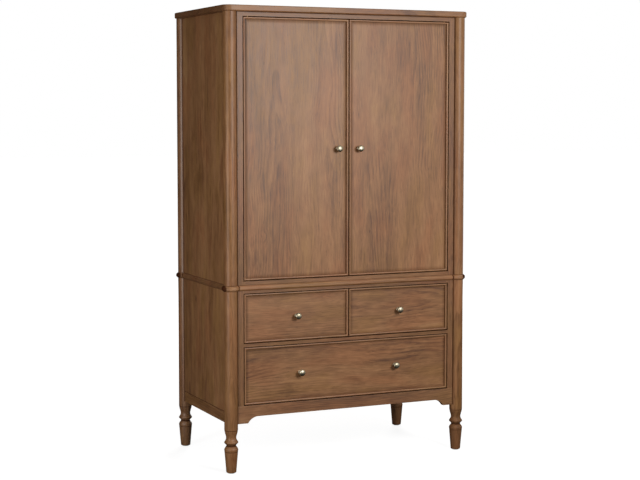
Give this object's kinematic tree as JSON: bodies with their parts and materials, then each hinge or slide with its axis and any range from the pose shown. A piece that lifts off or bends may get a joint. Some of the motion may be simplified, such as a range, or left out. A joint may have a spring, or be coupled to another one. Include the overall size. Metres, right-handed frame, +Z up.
{
  "type": "wardrobe cabinet",
  "caption": "Free-standing wardrobe: hinged doors over sliding drawers, between round corner posts on turned feet, with beaded fronts, mushroom knobs, a hat shelf and a hanging rail.",
  "frame": {"origin": "on the floor, under the middle of the cabinet", "axes": "+Z up; -Y is the front, where the doors and drawers open; +X is to the right of someone who faces the front"},
  "size_m": [1.124, 0.631, 1.9],
  "materials": {
    "case_wood": "mid-brown stain with a satin lacquer, grain upright on posts and panels",
    "rail_wood": "mid-brown stain with a satin lacquer, grain along each rail",
    "front_wood": "mid-brown figured veneer with a satin lacquer",
    "bead_wood": "mid-brown stain, darker in the quirks",
    "inner_wood": "clear-lacquered plain board",
    "drawer_wood": "pale clear-lacquered hardwood",
    "knob_metal": "warm pewter, brushed",
    "hinge_metal": "satin",
    "runner_metal": "zinc-plated",
    "rail_metal": "satin nickel",
    "glide_plastic": "dark and matte",
    "catch_plastic": "brown and matte"
  },
  "bodies": {
    "cabinet": {"top_slab": "rail_wood", "waist_band": "rail_wood", "upper_face_frame": "case_wood", "lower_face_frame": "case_wood", "apron": "rail_wood", "base_rails": "rail_wood", "upper_back": "inner_wood", "lower_back": "inner_wood", "upper_floor": "inner_wood", "drawer_deck": "inner_wood", "case_bottom": "inner_wood", "centre_partition": "inner_wood", "runner_cleats": "inner_wood", "hat_shelf": "inner_wood", "shelf_battens": "inner_wood", "hanging_rail": "rail_metal", "rail_sockets": "rail_metal", "door_catches": "catch_plastic", "frame_hinge_plates": "hinge_metal", "foot_glides": "glide_plastic", "fixed_runners": "runner_metal", "upper_post_front_left": "case_wood", "leg_front_left": "case_wood", "upper_post_rear_left": "case_wood", "leg_rear_left": "case_wood", "upper_side_left": "case_wood", "lower_side_left": "case_wood", "upper_post_front_right": "case_wood", "leg_front_right": "case_wood", "upper_post_rear_right": "case_wood", "leg_rear_right": "case_wood", "upper_side_right": "case_wood", "lower_side_right": "case_wood"},
    "left_door": {"left_door_panel": "front_wood", "left_door_bead": "bead_wood", "left_door_knob": "knob_metal", "left_door_fittings": "hinge_metal"},
    "right_door": {"right_door_panel": "front_wood", "right_door_bead": "bead_wood", "right_door_knob": "knob_metal", "right_door_fittings": "hinge_metal"},
    "left_drawer": {"left_drawer_front": "front_wood", "left_drawer_bead": "bead_wood", "left_drawer_box": "drawer_wood", "left_drawer_knob": "knob_metal", "left_drawer_runners": "runner_metal"},
    "left_drawer_middle": {"left_drawer_middle_runners": "runner_metal"},
    "right_drawer": {"right_drawer_front": "front_wood", "right_drawer_bead": "bead_wood", "right_drawer_box": "drawer_wood", "right_drawer_knob": "knob_metal", "right_drawer_runners": "runner_metal"},
    "right_drawer_middle": {"right_drawer_middle_runners": "runner_metal"},
    "long_drawer": {"long_drawer_front": "front_wood", "long_drawer_bead": "bead_wood", "long_drawer_box": "drawer_wood", "long_drawer_knobs": "knob_metal", "long_drawer_runners": "runner_metal"},
    "long_drawer_middle": {"long_drawer_middle_runners": "runner_metal"}
  },
  "joints": [
    {"name": "left_door_swing", "type": "hinge", "parent": "cabinet", "child": "left_door", "pos_m": [-0.452, -0.285, 1.32175], "axis": [0, 0, -1], "range_deg": [0, 110]},
    {"name": "right_door_swing", "type": "hinge", "parent": "cabinet", "child": "right_door", "pos_m": [0.452, -0.285, 1.32175], "axis": [0, 0, 1], "range_deg": [0, 110]},
    {"name": "left_drawer_slide", "type": "slide", "parent": "cabinet", "child": "left_drawer", "axis": [0, -1, 0], "range_m": [0, 0.5]},
    {"name": "left_drawer_middle_slide", "type": "slide", "parent": "cabinet", "child": "left_drawer_middle", "axis": [0, -1, 0], "range_m": [0, 0.25]},
    {"name": "right_drawer_slide", "type": "slide", "parent": "cabinet", "child": "right_drawer", "axis": [0, -1, 0], "range_m": [0, 0.5]},
    {"name": "right_drawer_middle_slide", "type": "slide", "parent": "cabinet", "child": "right_drawer_middle", "axis": [0, -1, 0], "range_m": [0, 0.25]},
    {"name": "long_drawer_slide", "type": "slide", "parent": "cabinet", "child": "long_drawer", "axis": [0, -1, 0], "range_m": [0, 0.5]},
    {"name": "long_drawer_middle_slide", "type": "slide", "parent": "cabinet", "child": "long_drawer_middle", "axis": [0, -1, 0], "range_m": [0, 0.25]}
  ],
  "couplings": [
    {"joint": "left_drawer_middle_slide", "follows": "left_drawer_slide", "ratio": 0.5},
    {"joint": "right_drawer_middle_slide", "follows": "right_drawer_slide", "ratio": 0.5},
    {"joint": "long_drawer_middle_slide", "follows": "long_drawer_slide", "ratio": 0.5}
  ]
}
